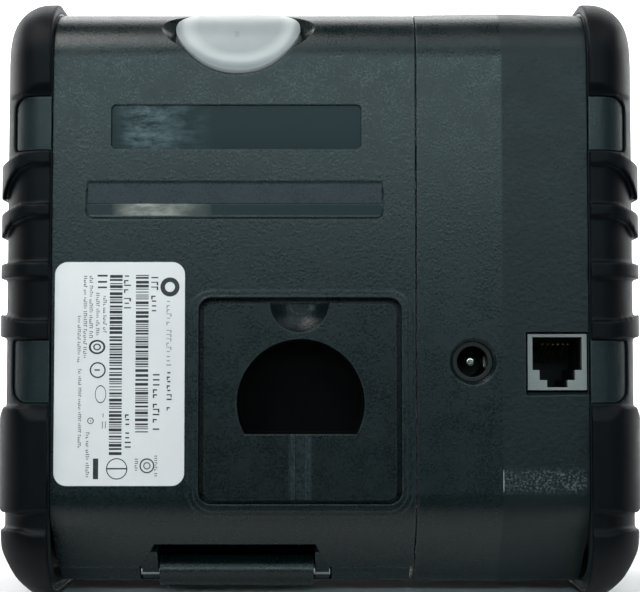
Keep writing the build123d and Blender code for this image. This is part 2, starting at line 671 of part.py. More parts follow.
def print_head():
    head = box(PAPER_X0 + 0.6, PAPER_X1 - 0.6, 7.62, 8.4, 103.4, 115.0)
    return head + box(PAPER_X0 + 1.2, PAPER_X1 - 1.2, 8.3, 8.9, 108.7, 110.3)


def head_springs():
    return [
        coil(x, 113.8, -0.6, 3.3, radius=1.6, wire=0.5, turns=3.0) for x in (-40.0, -17.2, 5.6)
    ]


def tear_bar():
    """Serrated bar over the paper slot, on a flat foot."""
    x0, x1 = PAPER_X0 - 1.5, PAPER_X1 + 1.5
    foot_z, valley_z, tip_z = 117.45, 118.6, 119.6
    count = 40
    pitch = (x1 - x0) / count
    outline = [(x0, foot_z), (x0, valley_z)]
    for k in range(count):
        outline += [(x0 + (k + 0.5) * pitch, tip_z), (x0 + (k + 1) * pitch, valley_z)]
    outline += [(x1, foot_z)]
    return prism_y(outline, 7.62, 8.1) + box(x0, x1, 0.5, 8.1, foot_z + 0.01, 117.7)


# ------------------------------------------------------------------- paper tub
def paper_tub():
    tub = prism_x(
        [(-24, 91), (-24, 17.5), (-11.8, 8.5), (20, 8.5), (27.5, 20), (27.5, 60), (6, 91)],
        TUB_X0, TUB_X1, [0, 1, 2, 6, 3, 6, 0],
    ) - prism_x(
        [(-22.5, 120), (-22.5, 18.3), (-11.3, 10.0), (60, 10.0), (60, 120)],
        TUB_X0 + 1.5, TUB_X1 - 1.5,
    )
    # top flanges that take the print mechanism
    for x0, x1 in ((TUB_X0, -43.5), (9.0, TUB_X1)):
        tub += box(x0, x1, -24, 6.0, 89.7, 91.2)
    for x, z in TUB_SCREWS:
        tub -= cyl_y(x, z, 1.3, -30, -20)
    # window for the clip cup at the back
    tub -= box(-18.6, 10.9, -25, -19, 21.0, 55.0)
    return tub


def paper_sensor():
    sensor = box(-24.0, -16.5, -1.5, 2.5, 86.2, 89.6) + box(-28, -12.5, -2.5, 3.5, 89.6, 90.8)
    return sensor + box(-28, -12.5, -22.3, -2.4, 90.0, 90.8)


# ----------------------------------------------------------- belt-clip socket
def d_face(grow):
    """D outline with its flat side down."""
    radius = D_R + grow
    flat_z = D_FLAT - grow
    reach = radius * math.cos(math.asin((flat_z - D_Z) / radius))
    right, left = (D_X + reach, flat_z), (D_X - reach, flat_z)
    arc = ThreePointArc(right, (D_X, D_Z + radius), left)
    return make_face(Curve() + [arc, Line(left, right)])


def clip_plate():
    back_y = REAR_Y + 3.7
    clip = plate_y(PLATE, 2.0, REAR_Y + 0.75, REAR_Y + 2.35)
    flange = (PLATE_X0 - 1.9, PLATE_X1 + 1.9, PLATE_Z0 + 0.8, PLATE_Z1 + 1.9)
    clip += plate_y(flange, 3.0, REAR_Y + 2.3, back_y)
    clip -= along_y(d_face(0.0), OUT_REAR, -20)
    # dished finger notch at the top of the plate
    ball = Pos(SCOOP_X, REAR_Y + 0.75 - 6.2, SCOOP_Z) * Sphere(8.6)
    clip -= ball & box(-30, 30, -50, REAR_Y + 2.9, 0, PLATE_Z1 + 0.01)
    # guide groove with two fine ridges under the opening
    clip -= box(-6.0, -1.9, REAR_Y, REAR_Y + 1.25, PLATE_Z0 - 1, D_FLAT + 0.5)
    for x in (-5.3, -3.0):
        clip += box(x, x + 0.4, REAR_Y + 0.95, REAR_Y + 1.3, PLATE_Z0 + 0.01, D_FLAT - 0.01)
    # strip along the bottom edge
    strip = (PLATE_X0 - 1.0, PLATE_X1 + 1.0, PLATE_Z0 - 1.9, PLATE_Z0 + 1.7)
    clip += plate_y(strip, 0.4, REAR_Y + 3.15, back_y)
    return clip


def clip_socket_cup():
    mouth_y = REAR_Y + 3.75
    cup = along_y(d_face(1.2), mouth_y, REAR_Y + 13.2) - along_y(
        d_face(0.0), REAR_Y + 3, REAR_Y + 12.0
    )
    flange = plate_y((-18.4, 10.7, 22.0, 54.6), 2.0, mouth_y, REAR_Y + 4.6)
    cup += flange - along_y(d_face(0.5), OUT_REAR, -10)
    return cup


def rear_label():
    return plate_y(LABEL, 2.6, REAR_Y - 0.16, REAR_Y - 0.01)


# ------------------------------------------------------- release button, latch
def release_button():
    button = release_prism(BUTTON_A, BUTTON_B, -5.5, 12) & body(-60, 30, -0.25)
    # thumb dish that leaves a raised edge
    dish = Pos(BUTTON_X, BUTTON_Y - 12.5, BUTTON_Z + 15.6) * Sphere(19.0)
    button -= dish & release_prism(BUTTON_A - 1.0, BUTTON_B - 1.2, -3, 20)
    # flange behind the casing wall
    button += release_prism(BUTTON_A + 1.4, BUTTON_B + 1.2, -12, 12) & (
        body(-60, 30, WALL + 0.35) - body(-60, 30, WALL + 1.5)
    )
    return button


def latch_yoke():
    """Cross bar behind the button, two side arms with hooks, and a tongue."""
    yoke = box(HOOKS[0][0], HOOKS[1][1], YOKE_Y0, YOKE_Y1, 97.2, 100.3)
    for x0, x1 in HOOKS:
        yoke += prism_x(
            [(YOKE_Y0, 86.4), (21.8, 86.4), (21.8, 89.4), (20.3, 89.4), (19.4, 88.4),
             (-24.6, 88.4), (YOKE_Y1, 90), (YOKE_Y1, 100.3), (YOKE_Y0, 100.3)],
            x0, x1,
        )
    yoke += prism_x(
        [(-27.0, 99.9), (YOKE_Y1, 99.9), (-23.2, 106.5), (-23.2, 112.9), (-23.4, 112.9),
         (-26.2, 109.9)],
        -22.0, -11.2,
    )
    return yoke


def latch_springs():
    # wound along Y, then turned upright between z = 92.25 and 97.1
    return [
        Pos(0, LATCH_SPRING_Y, 0)
        * (Rot(90, 0, 0) * coil(x, 0.0, 92.25, 97.1, radius=1.1, wire=0.45, turns=4.0))
        for x in LATCH_SPRING_XS
    ]


def latch_bracket():
    """Fixed shelf under the latch springs, with a peg for each."""
    bracket = box(-38.0, 5.0, -28.0, -17.6, 91.05, 92.2)
    bracket += box(-38.0, 5.0, -18.6, -17.6, 92.1, 94.0)
    for x in LATCH_SPRING_XS:
        bracket += cyl_z(x, LATCH_SPRING_Y, 0.7, 92.1, 94.0)
    return bracket


# ------------------------------------------------------------- ports and board
def main_board():
    board = box(22.2, 51.2, BOARD_Y, BOARD_Y + BOARD_T, 12.0, 110.0)
    for x, z in BOARD_SCREWS:
        board -= cyl_y(x, z, 1.2, -20, 0)
    return board


def board_components():
    # x0, x1, front face's distance from BOARD_Y, z0, z1
    chips = [(29, 43, 3.2, 62, 76), (28, 36, 2.8, 84, 94), (40, 46, 3.6, 84, 96)]
    parts = [box(x0, x1, PART_Y, BOARD_Y + y, z0, z1) for x0, x1, y, z0, z1 in chips]
    return parts + [cyl_y(x, 52.0, 3.1, PART_Y, BOARD_Y + 8.5) for x in (30.0, 40.0)]


def casing_screws():
    # places, shank and head as (radius, y0, y1), depth of the cross slots
    kinds = [
        (BOARD_SCREWS, (1.0, BOARD_Y - 5, BOARD_Y + 1.7), (2.1, PART_Y, BOARD_Y + 3.0), 0.5),
        (TUB_SCREWS, (1.05, -28.0, -22.3), (2.3, -22.45, -21.0), 0.6),
        (PORT_SCREWS, (1.0, -9.0, 3.1), (2.2, 3.05, 4.6), 0.6),
    ]
    screws = []
    for places, shank, head, depth in kinds:
        y0, y1 = head[2] - depth, head[2] + 1
        for x, z in places:
            slotted = (
                cyl_y(x, z, *head)
                - box(x - 1.5, x + 1.5, y0, y1, z - 0.25, z + 0.25)
                - box(x - 0.25, x + 0.25, y0, y1, z - 1.5, z + 1.5)
            )
            screws.append(cyl_y(x, z, *shank) + slotted)
    return screws


def dc_inlet():
    inlet = box(
        DC_X - 5.0, DC_X + 5.0, REAR_Y + WALL + 0.15, BOARD_Y - 0.05, DC_Z - 5.5, DC_Z + 5.0
    )
    inlet += cyl_y(DC_X, DC_Z, DC_R - 0.1, REAR_Y + 0.9, REAR_Y + WALL + 0.3)
    inlet -= cyl_y(DC_X, DC_Z, 3.1, REAR_Y, BOARD_Y - 3.0)
    return inlet


def dc_inlet_pin():
    pin = cyl_y(DC_X - 0.2, DC_Z, 1.0, REAR_Y + 3.2, BOARD_Y - 3.02)
    return fillet(pin.edges().group_by(Axis.Y)[0], 0.5)


def dc_inlet_spring():
    leaf = box(DC_X + 2.6, DC_X + 3.0, REAR_Y + 5.0, BOARD_Y - 3.1, DC_Z - 1.0, DC_Z + 1.0)
    return leaf & cyl_y(DC_X, DC_Z, 3.05, OUT_REAR, 0)


# jack body inside its opening
PLUG_X0, PLUG_X1 = JACK_X0 + 0.4, JACK_X1 - 0.2
PLUG_Z0, PLUG_Z1 = JACK_Z0 + 0.4, JACK_Z1 - 0.4


def modular_jack():
    jack = box(PLUG_X0, PLUG_X1, REAR_Y + 0.35, BOARD_Y - 0.05, PLUG_Z0, PLUG_Z1)
    # stepped cavity: side margin, bottom margin
    for side, bottom in ((0.95, 4.0), (2.35, 2.0), (3.85, 0.55)):
        jack -= box(
            PLUG_X0 + side, PLUG_X1 - side, REAR_Y, BOARD_Y - 2.0,
            PLUG_Z0 + bottom, PLUG_Z1 - 0.6,
        )
    return jack


def jack_contacts():
    root_y = BOARD_Y - 2.1
    outline = [
        (REAR_Y + 2.6, PLUG_Z1 - 2.1), (REAR_Y + 2.9, PLUG_Z1 - 1.75),
        (root_y, PLUG_Z1 - 5.2), (root_y, PLUG_Z1 - 5.7),
    ]
    centres = [(PLUG_X0 + PLUG_X1) / 2 + (k - 2.5) * 1.02 for k in range(6)]
    return [prism_x(outline, x - 0.2, x + 0.2) for x in centres]


def radio_module():
    module = box(24.5, 46.5, BOARD_Y + 3.9, BOARD_Y + 6.4, 98.3, 103.4)
    return module + box(27, 30, BOARD_Y + 1.65, BOARD_Y + 4.0, 98.6, 103.0)


def antenna():
    return box(27.0, 50.5, -3.4, -2.8, 105.0, 115.0)


def head_cable():
    """Flat cable through the upper slot in the port section's side wall."""
    x0, z0, z1 = 16.95, 88.6, 93.2
    return box(x0, 17.35, -19.0, -10.0, z0, z1) + box(x0, 23.5, -13.2, -12.9, z0, z1)


# -------------------------------------------------------------------- keypad
def keypad_bezel():
    bezel = plate_y(inset(KEYPAD, 0.15), 2.9, BODY_Y - 0.97, BODY_Y + 0.25)
    for x, z in (FEED, POWER):
        bezel -= cyl_y(x, z, 4.15, 20, OUT_FRONT)
    for x, z in LEDS:
        bezel -= cyl_y(x, z, 1.25, 20, OUT_FRONT)
    return bezel


def key(x, z):
    """Dished round key with a retaining flange and a stem."""
    top_y = BODY_Y + 1.25
    cap = cyl_y(x, z, 4.05, BODY_Y - 2.6, top_y)
    cap = fillet(cap.edges().group_by(Axis.Y)[-1], 0.6)
    cap -= Pos(x, top_y + 8.6, z) * Sphere(9.0)
    cap += cyl_y(x, z, 4.9, BODY_Y - 3.3, BODY_Y - 2.5)
    cap += cyl_y(x, z, 1.6, 23.3, BODY_Y - 2.6)
    return cap


def feed_key():
    return key(*FEED)


def power_key():
    return key(*POWER)


def led_lenses():
    rods = [cyl_y(x, z, 1.15, BODY_Y - 5.0, BODY_Y + 0.45) for x, z in LEDS]
    return [fillet(rod.edges().group_by(Axis.Y)[-1], 0.5) for rod in rods]


def keypad_board():
    board = box(23.5, 50.5, 18.0, 19.6, 74.5, 109.5)
    for x, z in (FEED, POWER):
        switch = box(x - 3, x + 3, 19.5, 21.2, z - 3, z + 3)
        board += switch + cyl_y(x, z, 1.7, 21.1, 22.3)
    for x, z in LEDS:
        board += box(x - 0.8, x + 0.8, 19.5, 20.6, z - 1.2, z + 1.2)
    return board


# ------------------------------------------------------------------- battery
def battery_pack():
    pack = box(25.2, 48.8, 4.0, 27.6, 17.0, 64.5)
    pack = fillet(pack.edges().filter_by(Axis.Z), 3.0)
    return pack - box(29, 45, 27.1, 30, 24.0, 58.0)


def battery_contacts():
    foot_y = BOARD_Y + 1.65
    outline = [
        (foot_y, 22), (foot_y, 24), (3.9, 26.4), (3.9, 25.9), (2.6, 24.9), (BOARD_Y + 2.0, 22)
    ]
    return [prism_x(outline, x, x + 1.2) for x in (30.0, 35.0, 40.0)]


def battery_cover():
    """Cover plate with a locating frame behind it and grip bars in front."""
    inner_y = BODY_Y - WALL
    cover = plate_y(inset(BATTERY_OPENING, -1.05), 3.05, BODY_Y - 1.25, BODY_Y + 0.25)
    cover += plate_y(
        inset(BATTERY_OPENING, 0.2), 2.3, inner_y - 0.9, BODY_Y - 1.2
    ) - plate_y(inset(BATTERY_OPENING, 1.6), 1.5, inner_y - 2, BODY_Y - 1.24)
    for k in range(5):
        z = 52.0 + k * 2.4
        cover += plate_y((31.0, 43.0, z, z + 1.1), 0.5, BODY_Y + 0.1, BODY_Y + 0.7)
    return cover


# -------------------------------------------------------------------- output
# each of these is written under its function's name
PIECES = (
    rear_shell, port_housing_rear, port_housing_front, paper_door, hinge_pin,
    platen_rubber, platen_shaft, platen_gear, platen_bushes, idler_gear, idler_axle,
    motor_pinion, motor_shaft, mechanism_frame, stepper_motor, head_heatsink,
    print_head, head_springs, tear_bar, paper_tub, paper_sensor, clip_plate,
    clip_socket_cup, rear_label, release_button, latch_yoke, latch_springs,
    latch_bracket, main_board, board_components, casing_screws, dc_inlet,
    dc_inlet_pin, dc_inlet_spring, modular_jack, jack_contacts, radio_module,
    antenna, head_cable, keypad_bezel, feed_key, power_key, led_lenses,
    keypad_board, battery_pack, battery_contacts, battery_cover,
)

os.makedirs("parts", exist_ok=True)
for piece in PIECES:
    save(piece.__name__, piece())
# pieces that come as a mirrored pair
for name, shape in (("end_cap", end_cap()), ("bumper", bumper())):
    save(name + "_right", shape)
    save(name + "_left", mirror(shape, about=Plane.YZ))
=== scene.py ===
"""A portable printer, dressed and staged round its CAD pieces.

Metres, +Z up, X across the printer. The port face with its label looks along -Y,
towards the camera, and sits near y = -0.031; the base stands on z = 0.
"""
import bpy
import bmesh
import json
import math
from types import SimpleNamespace
import numpy as np
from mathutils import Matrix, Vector

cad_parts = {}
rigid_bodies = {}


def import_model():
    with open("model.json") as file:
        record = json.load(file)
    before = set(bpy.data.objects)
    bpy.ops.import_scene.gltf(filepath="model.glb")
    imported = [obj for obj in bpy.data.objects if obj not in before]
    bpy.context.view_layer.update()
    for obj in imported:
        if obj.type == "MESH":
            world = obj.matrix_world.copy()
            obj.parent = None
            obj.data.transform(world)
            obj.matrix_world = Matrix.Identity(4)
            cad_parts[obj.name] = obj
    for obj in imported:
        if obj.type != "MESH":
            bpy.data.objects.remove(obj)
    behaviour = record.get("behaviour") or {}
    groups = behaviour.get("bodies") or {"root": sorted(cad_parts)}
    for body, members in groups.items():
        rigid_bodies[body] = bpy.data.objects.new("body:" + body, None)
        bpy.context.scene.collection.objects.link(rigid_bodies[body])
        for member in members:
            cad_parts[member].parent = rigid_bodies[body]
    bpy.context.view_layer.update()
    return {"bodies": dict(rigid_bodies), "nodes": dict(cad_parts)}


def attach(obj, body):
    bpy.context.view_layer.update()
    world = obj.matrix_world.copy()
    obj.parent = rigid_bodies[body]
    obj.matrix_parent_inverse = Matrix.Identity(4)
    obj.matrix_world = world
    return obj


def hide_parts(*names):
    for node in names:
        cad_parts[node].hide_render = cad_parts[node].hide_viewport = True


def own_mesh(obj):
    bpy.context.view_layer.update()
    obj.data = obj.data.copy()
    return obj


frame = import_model()
PIECES = frame["nodes"]
MM = 0.001


# ------------------------------------------------------------ material toolkit
def rgb(red, green, blue):
    return (red, green, blue, 1.0)


def shade(base, gain, lift=0.0):
    """The base colour scaled and raised; gain and lift may differ per channel."""
    return (*np.minimum(1.0, np.multiply(base, gain) + lift), 1.0)


class Material:
    """A procedural material; its methods add nodes and return their output sockets.

    A span is the range of input values that is used, in (start, end) order. The
    default span is the middle of a noise, where nearly all of its values lie.
    """

    SOCKETS = {
        "color": "Base Color", "rough": "Roughness", "metal": "Metallic",
        "normal": "Normal", "spec": "Specular IOR Level", "coat": "Coat Weight",
        "trans": "Transmission Weight", "alpha": "Alpha",
        "emit": "Emission Color", "emit_strength": "Emission Strength",
    }

    def __init__(self, name):
        self.data = bpy.data.materials.new(name)
        self.data.use_nodes = True
        self.tree = self.data.node_tree
        self.tree.nodes.clear()
        output = self.node("ShaderNodeOutputMaterial")
        self.shader = self.node("ShaderNodeBsdfPrincipled")
        self.put(output.inputs[0], self.shader.outputs[0])
        self.position = self.node("ShaderNodeTexCoord").outputs["Object"]

    def put(self, socket, value):
        if isinstance(value, bpy.types.NodeSocket):
            self.tree.links.new(value, socket)
        else:
            socket.default_value = value

    def node(self, kind, inputs=None, **settings):
        node = self.tree.nodes.new(kind)
        for key, value in settings.items():
            setattr(node, key, value)
        for key, value in (inputs or {}).items():
            self.put(node.inputs[key], value)
        return node

    def stretched(self, stretch):
        if stretch is None:
            return self.position
        inputs = {"Vector": self.position, "Scale": stretch}
        return self.node("ShaderNodeMapping", inputs).outputs[0]

    def axes(self):
        return self.node("ShaderNodeSeparateXYZ", {0: self.position}).outputs

    def noise(self, scale, detail=2.0, rough=0.5, stretch=None):
        inputs = {"Vector": self.stretched(stretch), "Scale": scale,
                  "Detail": detail, "Roughness": rough}
        return self.node("ShaderNodeTexNoise", inputs).outputs["Fac"]

    def voronoi(self, scale, feature, stretch=None):
        inputs = {"Vector": self.stretched(stretch), "Scale": scale}
        return self.node("ShaderNodeTexVoronoi", inputs, feature=feature).outputs["Distance"]

    def calc(self, operation, result, *others):
        for other in others or (0.0,):
            inputs = {0: result, 1: other}
            result = self.node("ShaderNodeMath", inputs, operation=operation).outputs[0]
        return result

    def add(self, *values):
        return self.calc("ADD", *values)

    def multiply(self, *values):
        return self.calc("MULTIPLY", *values)

    def invert(self, value):
        return self.calc("SUBTRACT", 1.0, value)

    def length(self, a, b):
        return self.calc("SQRT", self.add(self.multiply(a, a), self.multiply(b, b)))

    def remap(self, value, to, span=(0.3, 0.7)):
        inputs = {0: value, 1: span[0], 2: span[1], 3: to[0], 4: to[1]}
        return self.node("ShaderNodeMapRange", inputs).outputs[0]

    def rise(self, value, span):
        return self.remap(value, to=(0.0, 1.0), span=span)

    def fall(self, value, span):
        return self.remap(value, to=(1.0, 0.0), span=span)

    def inside(self, value, span, soft):
        """1 within the span, fading to 0 across its two ends."""
        start, end = span
        return self.multiply(self.rise(value, span=(start - soft, start + soft)),
                             self.fall(value, span=(end - soft, end + soft)))

    def ramp(self, value, low, high, span=(0.3, 0.7)):
        node = self.node("ShaderNodeValToRGB", {0: value})
        for stop, place, color in zip(node.color_ramp.elements, span, (low, high)):
            stop.position = place
            stop.color = color
        return node.outputs[0]

    def mix(self, mask, color, over):
        inputs = {"Factor": mask, 6: color, 7: over}
        return self.node("ShaderNodeMix", inputs, data_type="RGBA").outputs[2]

    def tint(self, color, mask, amount, over):
        return self.mix(self.multiply(mask, amount), color, over)

    def bevel(self, radius):
        return self.node("ShaderNodeBevel", {"Radius": radius}, samples=4).outputs[0]

    def bump(self, height, strength, depth, bevel=None):
        inputs = {"Strength": strength, "Distance": depth, "Height": height}
        if bevel is not None:
            inputs["Normal"] = self.bevel(bevel)
        return self.node("ShaderNodeBump", inputs).outputs[0]

    def edge(self, radius, span):
        """Edge mask: how far the bevelled normal turns away from the true one."""
        inputs = {0: self.bevel(radius),
                  1: self.node("ShaderNodeNewGeometry").outputs["Normal"]}
        dot = self.node("ShaderNodeVectorMath", inputs, operation="DOT_PRODUCT")
        return self.rise(self.invert(dot.outputs["Value"]), span=span)

    def finish(self, **values):
        for key, value in values.items():
            self.put(self.shader.inputs[self.SOCKETS[key]], value)
        return self


# ------------------------------------------------------------- casing plastics
CASE_COLOR = (0.0014, 0.0070, 0.0086)
CASE_SHINE = 0.5
COARSE_FROM_X = 0.0365      # the port casing is coarser beyond this x


def grain(m, noise, noise_gain, cell_scale, cell_gain):
    """Moulded spark-erosion grain: fine noise plus rounded cells."""
    cells = m.voronoi(cell_scale, feature="SMOOTH_F1")
    return m.add(m.multiply(noise, noise_gain), m.multiply(cells, cell_gain))


def casing_material(name, base=CASE_COLOR, grain_gain=1.0, rough=(0.25, 0.35),
                    shine=CASE_SHINE, details=None):
    """Grained plastic; details(m, look) may alter the look before it is finished."""
    m = Material(name)
    height = grain(m, m.noise(scale=3600, rough=0.6), noise_gain=0.7,
                   cell_scale=1900, cell_gain=0.8)
    speck = m.noise(scale=2600, rough=0.6)
    color = m.ramp(m.noise(scale=38, detail=4.0, rough=0.6), span=(0.30, 0.72),
                   low=shade(base, gain=0.80),
                   high=shade(base, gain=(1.25, 1.22, 1.18), lift=(0.001, 0.001, 0.0)))
    color = m.mix(m.remap(speck, to=(0.0, 0.55), span=(0.54, 0.72)), color,
                  over=shade(base, gain=(2.0, 2.0, 1.9), lift=0.004))
    wear = m.remap(m.noise(scale=420, detail=4.0, rough=0.7), to=(0.25, 1.0), span=(0.38, 0.62))
    # edges are painted paler: partly edge wear, partly painted highlight where edges catch the
    # light
    edge_wear_and_highlight = m.multiply(m.edge(radius=0.0007, span=(0.004, 0.16)), wear)
    color = m.tint(color, edge_wear_and_highlight, amount=0.75,
                   over=shade(base, gain=2.6, lift=(0.030, 0.032, 0.034)))
    roughness = m.add(m.remap(m.noise(scale=160, detail=5.0, rough=0.65), to=rough),
                      m.remap(speck, to=(-0.05, 0.05), span=(0.35, 0.65)))
    roughness = m.calc("SUBTRACT", roughness, m.multiply(edge_wear_and_highlight, 0.08))
    look = SimpleNamespace(color=color, rough=roughness, height=height, spec=shine)
    if details:
        details(m, look)
    normal = m.bump(look.height, strength=0.42 * grain_gain, depth=0.00006, bevel=0.00035)
    return m.finish(color=look.color, rough=look.rough, normal=normal, spec=look.spec)


def port_details(m, look):
    """Coarser grain beyond COARSE_FROM_X, and painted highlights on a band low on the face,
    where the coarse grain catches the light.
    """
    x, y, z = m.axes()
    coarse = m.rise(x, span=(COARSE_FROM_X - 0.00025, COARSE_FROM_X + 0.00025))
    coarse_height = grain(m, m.noise(scale=1700, detail=3.0, rough=0.65), noise_gain=1.5,
                          cell_scale=1100, cell_gain=1.4)
    look.height = m.add(m.multiply(look.height, m.invert(coarse)),
                        m.multiply(coarse_height, coarse))
    look.rough = m.add(look.rough, m.multiply(coarse, 0.10))
    look.spec = m.remap(coarse, to=(CASE_SHINE, CASE_SHINE - 0.10), span=(0.0, 1.0))

    def low_patch(x_span, x_soft, z_soft):
        return m.multiply(m.inside(x, span=x_span, soft=x_soft),
                          m.inside(z, span=(0.0222, 0.0262), soft=z_soft),
                          m.fall(y, span=(-0.0300, -0.0290)))

    band = low_patch(x_span=(0.0366, 0.0530), x_soft=0.0002, z_soft=0.0008)
    # painted highlights: pale dots where the band's coarse grain catches the light
    band_glints = m.multiply(band, m.rise(m.noise(scale=2300, rough=0.6), span=(0.50, 0.64)))
    look.color = m.tint(look.color, band_glints, amount=0.9, over=rgb(0.070, 0.088, 0.092))
    # painted highlight: a bright line down the band's left edge
    streak = low_patch(x_span=(0.03640, 0.03658), x_soft=0.00005, z_soft=0.0004)
    look.color = m.tint(look.color, streak, amount=0.8, over=rgb(0.30, 0.33, 0.33))


def shell_details(m, look):
    """Polished floor of the blank nameplate recess and of the ledge's return, with painted shade
    and painted highlights; the ramp above is painted paler.
    """
    x, y, z = m.axes()
    floor = m.multiply(m.inside(x, span=(-0.0420, 0.0083), soft=0.00005),
                       m.inside(z, span=(0.0906, 0.0996), soft=0.00005),
                       m.invert(m.fall(y, span=(-0.03062, -0.03054))))
    strip = m.multiply(m.inside(x, span=(-0.0467, 0.0125), soft=0.0001),
                       m.inside(z, span=(0.0768, 0.0796), soft=0.0001),
                       m.invert(m.fall(y, span=(-0.03098, -0.03092))))
    slick = m.calc("MAXIMUM", floor, strip)
    # painted light: the long ramp above the return faces up and is painted paler, as if lit from
    # above
    ramp = m.multiply(m.invert(slick), m.rise(y, span=(-0.03099, -0.03090)),
                      m.inside(z, span=(0.0796, 0.0838), soft=0.0003),
                      m.inside(x, span=(-0.0466, 0.0124), soft=0.0001))
    # painted highlights: faint bright glints towards the left end
    glint_noise = m.noise(scale=170, detail=6.0, rough=0.75, stretch=(1.0, 1.0, 2.6))
    left = m.multiply(m.rise(x, span=(-0.0420, -0.0365)), m.fall(x, span=(-0.0330, -0.0215)))
    floor_glints = m.multiply(floor, left, m.rise(glint_noise, span=(0.42, 0.86)))
    gleam = m.multiply(strip, left, m.remap(glint_noise, to=(0.35, 1.0), span=(0.40, 0.66)))
    color = m.tint(look.color, ramp, amount=0.8, over=rgb(0.034, 0.046, 0.054))
    # painted shade: the smooth floors are painted darker and more teal
    color = m.mix(slick, color, over=rgb(0.0030, 0.0120, 0.0145))
    # painted highlights: pale glints on the recess floor and on the return
    color = m.tint(color, floor_glints, amount=0.85, over=rgb(0.16, 0.22, 0.24))
    look.color = m.tint(color, gleam, amount=0.9, over=rgb(0.34, 0.35, 0.31))
    slick_rough = 0.24
    look.rough = m.add(m.multiply(look.rough, m.invert(slick)), m.multiply(slick, slick_rough))
    grain_lost = 0.9
    look.height = m.multiply(look.height, m.invert(m.multiply(slick, grain_lost)))
    look.spec = m.remap(floor, to=(CASE_SHINE, CASE_SHINE - 0.30), span=(0.0, 1.0))


def clip_details(m, look):
    """A speckled paler double line down the middle, under the opening."""
    x, y, z = m.axes()
    low = m.multiply(m.inside(z, span=(0.0202, 0.0338), soft=0.0003),
                     m.fall(y, span=(-0.0288, -0.0284)))
    left, right = (-0.00605, -0.00500), (-0.00290, -0.00185)
    between = m.inside(x, span=(left[1], right[0]), soft=0.00030)
    lines = m.calc("MAXIMUM", m.inside(x, span=left, soft=0.00020),
                   m.inside(x, span=right, soft=0.00020), m.multiply(between, 0.35))
    grit = m.remap(m.noise(scale=1500, detail=3.0, rough=0.7), to=(0.15, 1.0), span=(0.42, 0.66))
    mask = m.multiply(low, lines, m.multiply(grit, 0.75))
    look.color = m.mix(mask, look.color, over=rgb(0.050, 0.075, 0.082))


# ------------------------------------------------------------- other materials
def smooth_plastic(name, base, rough, bump, coat=0.0, spec=0.5):
    m = Material(name)
    color = m.ramp(m.noise(scale=60, detail=4.0, rough=0.6),
                   low=shade(base, gain=0.86), high=shade(base, gain=1.1))
    color = m.tint(color, m.edge(radius=0.0005, span=(0.004, 0.2)), amount=0.35,
                   over=shade(base, gain=1.6, lift=0.02))
    roughness = m.remap(m.noise(scale=240, detail=5.0, rough=0.7),
                        to=(rough - 0.06, rough + 0.09))
    normal = m.bump(m.noise(scale=2520, detail=3.0, rough=0.6),
                    strength=bump, depth=0.00005, bevel=0.00025)
    return m.finish(color=color, rough=roughness, normal=normal, spec=spec, coat=coat)


def rubber_material(name, base):
    m = Material(name)
    color = m.ramp(m.noise(scale=45, detail=5.0, rough=0.65), span=(0.3, 0.72),
                   low=shade(base, gain=0.75), high=shade(base, gain=1.5))
    wear = m.remap(m.noise(scale=260, detail=5.0, rough=0.7), to=(0.1, 1.0), span=(0.40, 0.66))
    rubbed = m.multiply(m.edge(radius=0.0011, span=(0.003, 0.20)), wear)
    color = m.tint(color, rubbed, amount=0.42, over=rgb(0.016, 0.021, 0.026))
    dust = m.rise(m.noise(scale=900), span=(0.70, 0.80))
    color = m.tint(color, dust, amount=0.14, over=rgb(0.06, 0.065, 0.065))
    rough = m.remap(m.noise(scale=170, detail=5.0, rough=0.7), to=(0.38, 0.52))
    swell = m.multiply(m.noise(scale=120, detail=3.0, rough=0.6), 0.8)
    height = m.add(m.noise(scale=3000, detail=3.0, rough=0.7), swell)
    return m.finish(color=color, rough=m.add(rough, m.multiply(rubbed, 0.08)), spec=0.13,
                    normal=m.bump(height, strength=0.22, depth=0.00008, bevel=0.0004))


def metal_material(name, base, rough, brushed=(1, 30, 30)):
    m = Material(name)
    streaks = m.noise(scale=900, detail=3.0, rough=0.6, stretch=brushed)
    return m.finish(
        color=m.ramp(streaks, low=shade(base, gain=0.8), high=shade(base, gain=1.1)),
        rough=m.remap(streaks, to=(rough - 0.08, rough + 0.12)), metal=1.0,
        normal=m.bump(streaks, strength=0.12, depth=0.00003, bevel=0.0001))


def jack_material():
    """Pale plastic with painted shade darkening it inside the socket."""
    m = Material("jack_plastic")
    socket_shade = m.rise(m.axes()[1], span=(-0.0302, -0.0282))
    color = m.ramp(m.noise(scale=90, detail=4.0, rough=0.6),
                   low=rgb(0.145, 0.160, 0.158), high=rgb(0.185, 0.205, 0.200))
    color = m.tint(color, m.edge(radius=0.0004, span=(0.004, 0.2)), amount=0.4,
                   over=rgb(0.32, 0.34, 0.33))
    # painted shade inside the socket; its specular level drops there too
    color = m.mix(socket_shade, color, over=rgb(0.010, 0.012, 0.012))
    return m.finish(
        color=color, rough=m.remap(m.noise(scale=240, detail=5.0, rough=0.7), to=(0.32, 0.46)),
        normal=m.bump(m.noise(scale=2500, detail=3.0, rough=0.6),
                      strength=0.12, depth=0.00005, bevel=0.00022),
        spec=m.remap(socket_shade, to=(0.5, 0.12), span=(0.0, 1.0)))


BUTTON_X, BUTTON_Z = -0.0166, 0.1166                # centre of the release button
BUTTON_HALF_WIDTH, BUTTON_HALF_HEIGHT = 0.0126, 0.0094
GATE_X, GATE_Z = -0.0168, 0.1142                    # moulding gate mark


